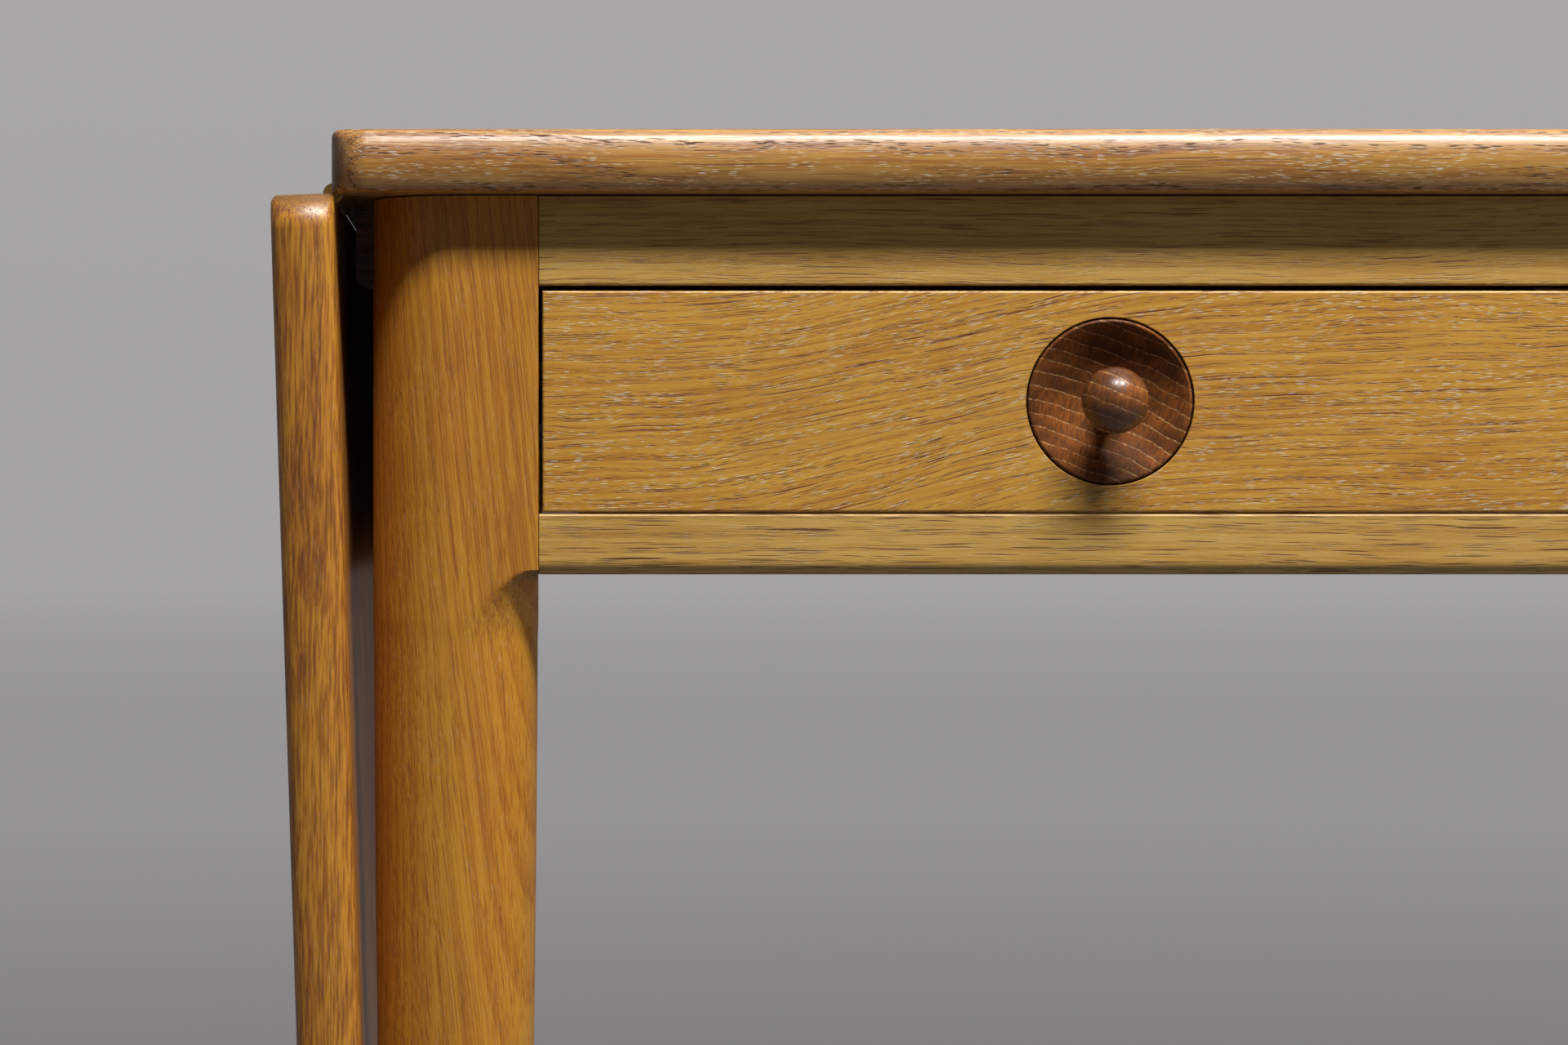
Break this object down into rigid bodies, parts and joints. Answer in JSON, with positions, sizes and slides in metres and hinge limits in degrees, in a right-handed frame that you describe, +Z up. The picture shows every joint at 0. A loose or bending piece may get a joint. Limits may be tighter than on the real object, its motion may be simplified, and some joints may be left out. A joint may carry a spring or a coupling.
{
  "type": "drop-leaf writing desk",
  "caption": "Oak writing desk with hinged drop leaves, side-hung drawers with dished ball pulls, sliding leaf supports and round tapered legs.",
  "frame": {"origin": "centre of the box around the whole desk at rest, on the floor under it", "axes": "+X along the length to the right seen from the front, the drawers face -Y, +Z up"},
  "size_m": [1.3482, 0.749, 0.72],
  "materials": {
    "oak": "oiled and waxed golden oak with open pores, satin",
    "inner_oak": "planed pale oak, waxed, inside the drawers and under the top",
    "teak": "turned and oiled dark red-brown teak, satin",
    "beech": "plain turned peg",
    "brass": "aged drawn brass, lightly tarnished",
    "steel": "plain countersunk screws"
  },
  "bodies": {
    "frame": {"tabletop": "oak", "front_leg_left": "oak", "front_leg_right": "oak", "back_leg_left": "oak", "back_leg_right": "oak", "upper_front_rail": "oak", "lower_front_rail": "oak", "back_rail": "oak", "side_rail_left": "oak", "side_rail_right": "oak", "divider_left": "oak", "divider_right": "oak", "inner_side_left": "inner_oak", "inner_side_right": "inner_oak", "support_guides": "inner_oak", "drawer_runners": "inner_oak", "runner_screws": "steel", "top_buttons": "inner_oak", "underside_screws": "steel", "hinge_top_plates_left": "brass", "hinge_top_plates_right": "brass", "hinge_top_screws_left": "brass", "hinge_top_screws_right": "brass"},
    "left_leaf": {"leaf_left": "oak", "hinge_leaf_plates_left": "brass", "hinge_leaf_screws_left": "brass", "hinge_pins_left": "brass"},
    "right_leaf": {"leaf_right": "oak", "hinge_leaf_plates_right": "brass", "hinge_leaf_screws_right": "brass", "hinge_pins_right": "brass"},
    "left_drawer": {"drawer_left_front": "oak", "drawer_left_side_left": "inner_oak", "drawer_left_side_right": "inner_oak", "drawer_left_back": "inner_oak", "drawer_left_bottom": "inner_oak", "drawer_left_pull_dish": "teak", "drawer_left_pull_knob": "teak"},
    "middle_drawer": {"drawer_middle_front": "oak", "drawer_middle_side_left": "inner_oak", "drawer_middle_side_right": "inner_oak", "drawer_middle_back": "inner_oak", "drawer_middle_bottom": "inner_oak", "drawer_middle_pull_dish": "teak", "drawer_middle_pull_knob": "teak"},
    "right_drawer": {"drawer_right_front": "oak", "drawer_right_side_left": "inner_oak", "drawer_right_side_right": "inner_oak", "drawer_right_back": "inner_oak", "drawer_right_bottom": "inner_oak", "drawer_right_pull_dish": "teak", "drawer_right_pull_knob": "teak"},
    "front_left_support": {"leaf_support_front_left": "teak", "support_peg_front_left": "beech"},
    "front_right_support": {"leaf_support_front_right": "teak", "support_peg_front_right": "beech"},
    "back_left_support": {"leaf_support_back_left": "teak", "support_peg_back_left": "beech"},
    "back_right_support": {"leaf_support_back_right": "teak", "support_peg_back_right": "beech"}
  },
  "joints": [
    {"name": "left_leaf_hinge", "type": "hinge", "parent": "frame", "child": "left_leaf", "pos_m": [-0.65405, 0.0045, 0.6998], "axis": [0, 1, 0], "range_deg": [0, 91.8]},
    {"name": "right_leaf_hinge", "type": "hinge", "parent": "frame", "child": "right_leaf", "pos_m": [0.65405, 0.0045, 0.6998], "axis": [0, -1, 0], "range_deg": [0, 91.8]},
    {"name": "left_drawer_slide", "type": "slide", "parent": "frame", "child": "left_drawer", "axis": [0, -1, 0], "range_m": [0, 0.38]},
    {"name": "middle_drawer_slide", "type": "slide", "parent": "frame", "child": "middle_drawer", "axis": [0, -1, 0], "range_m": [0, 0.38]},
    {"name": "right_drawer_slide", "type": "slide", "parent": "frame", "child": "right_drawer", "axis": [0, -1, 0], "range_m": [0, 0.38]},
    {"name": "front_left_support_slide", "type": "slide", "parent": "frame", "child": "front_left_support", "axis": [-1, 0, 0], "range_m": [0, 0.003]},
    {"name": "front_right_support_slide", "type": "slide", "parent": "frame", "child": "front_right_support", "axis": [1, 0, 0], "range_m": [0, 0.003]},
    {"name": "back_left_support_slide", "type": "slide", "parent": "frame", "child": "back_left_support", "axis": [-1, 0, 0], "range_m": [0, 0.003]},
    {"name": "back_right_support_slide", "type": "slide", "parent": "frame", "child": "back_right_support", "axis": [1, 0, 0], "range_m": [0, 0.003]}
  ]
}
